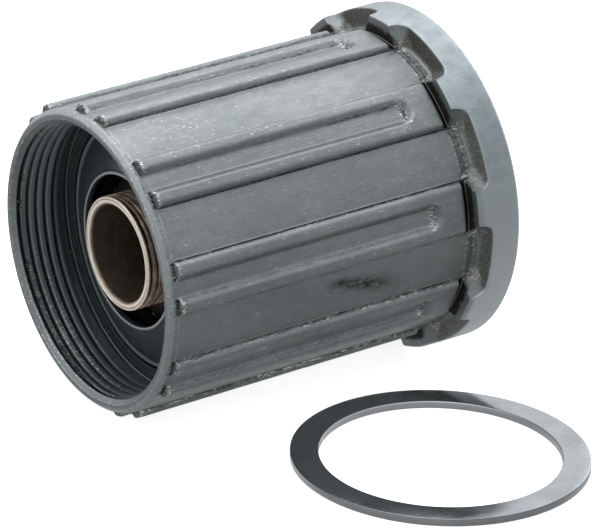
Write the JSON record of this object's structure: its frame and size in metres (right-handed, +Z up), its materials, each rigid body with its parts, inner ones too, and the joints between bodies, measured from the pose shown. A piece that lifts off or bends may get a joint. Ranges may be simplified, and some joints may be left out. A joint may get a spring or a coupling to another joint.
{
  "type": "cassette freehub body with washer",
  "caption": "Splined cassette freehub body lying on its side, with its pawl ratchet, ball bearings and threaded sleeve inside, and a loose flat washer beside it.",
  "frame": {"origin": "on the resting surface, under the middle of the bounding box of freehub and washer", "axes": "+Z up from the resting surface, +Y from the loose washer towards the freehub, -X along the freehub's axis towards its outboard threaded end"},
  "size_m": [0.045, 0.0642, 0.0377],
  "materials": {
    "shell_steel": "worn satin gunmetal with an oily film",
    "cap_steel": "dark blue-grey, oiled",
    "core_steel": "dark hardened steel, greasy",
    "sleeve_copper": "copper-toned, ground light rim",
    "pawl_steel": "hardened, oiled",
    "spring_steel": "drawn wire",
    "ball_steel": "polished",
    "shim_steel": "rolled strip",
    "seal_rubber": "matt black",
    "washer_steel": "polished flat steel, dark"
  },
  "bodies": {
    "core": {"inner_core": "core_steel", "axle_sleeve": "sleeve_copper", "pawl_spring": "spring_steel", "inboard_seal": "seal_rubber"},
    "shell": {"freehub_body": "shell_steel", "bearing_cup": "core_steel", "dust_cap": "cap_steel", "cup_shim_1": "shim_steel", "cup_shim_2": "shim_steel"},
    "outboard_ball_row": {"outboard_ball_01": "ball_steel", "outboard_ball_02": "ball_steel", "outboard_ball_03": "ball_steel", "outboard_ball_04": "ball_steel", "outboard_ball_05": "ball_steel", "outboard_ball_06": "ball_steel", "outboard_ball_07": "ball_steel", "outboard_ball_08": "ball_steel", "outboard_ball_09": "ball_steel", "outboard_ball_10": "ball_steel", "outboard_ball_11": "ball_steel", "outboard_ball_12": "ball_steel", "outboard_ball_13": "ball_steel", "outboard_ball_14": "ball_steel", "outboard_ball_15": "ball_steel", "outboard_ball_16": "ball_steel", "outboard_ball_17": "ball_steel", "outboard_ball_18": "ball_steel", "outboard_ball_19": "ball_steel", "outboard_ball_20": "ball_steel", "outboard_ball_21": "ball_steel"},
    "inboard_ball_row": {"inboard_ball_01": "ball_steel", "inboard_ball_02": "ball_steel", "inboard_ball_03": "ball_steel", "inboard_ball_04": "ball_steel", "inboard_ball_05": "ball_steel", "inboard_ball_06": "ball_steel", "inboard_ball_07": "ball_steel", "inboard_ball_08": "ball_steel", "inboard_ball_09": "ball_steel", "inboard_ball_10": "ball_steel", "inboard_ball_11": "ball_steel", "inboard_ball_12": "ball_steel", "inboard_ball_13": "ball_steel", "inboard_ball_14": "ball_steel", "inboard_ball_15": "ball_steel", "inboard_ball_16": "ball_steel", "inboard_ball_17": "ball_steel", "inboard_ball_18": "ball_steel", "inboard_ball_19": "ball_steel", "inboard_ball_20": "ball_steel", "inboard_ball_21": "ball_steel"},
    "pawl_1": {"pawl_1": "pawl_steel"},
    "pawl_2": {"pawl_2": "pawl_steel"},
    "washer": {"freehub_washer": "washer_steel"}
  },
  "joints": [
    {"name": "freewheel_spin", "type": "hinge", "parent": "core", "child": "shell", "pos_m": [0.0158, 0.0133, 0.01869], "axis": [-0.9987, 0, -0.0501], "continuous": true},
    {"name": "outboard_balls_orbit", "type": "hinge", "parent": "core", "child": "outboard_ball_row", "pos_m": [-0.01117, 0.0133, 0.01734], "axis": [-0.9987, 0, -0.0501], "continuous": true},
    {"name": "inboard_balls_orbit", "type": "hinge", "parent": "core", "child": "inboard_ball_row", "pos_m": [0.0177, 0.0133, 0.01878], "axis": [-0.9987, 0, -0.0501], "continuous": true},
    {"name": "pawl_1_swing", "type": "hinge", "parent": "core", "child": "pawl_1", "pos_m": [0.01084, 0.00643, 0.02584], "axis": [0.9987, 0, 0.0501], "range_deg": [0, 12], "stiffness_Nm_per_rad": 0.006, "springref_deg": 17.19},
    {"name": "pawl_2_swing", "type": "hinge", "parent": "core", "child": "pawl_2", "pos_m": [0.01158, 0.02017, 0.01108], "axis": [0.9987, 0, 0.0501], "range_deg": [0, 12], "stiffness_Nm_per_rad": 0.006, "springref_deg": 17.19},
    {"name": "washer_slide", "type": "slide", "parent": "core", "child": "washer", "axis": [0, -1, 0], "range_m": [0, 0.06]}
  ],
  "couplings": [
    {"joint": "outboard_balls_orbit", "follows": "freewheel_spin", "ratio": 0.551},
    {"joint": "inboard_balls_orbit", "follows": "freewheel_spin", "ratio": 0.551}
  ]
}
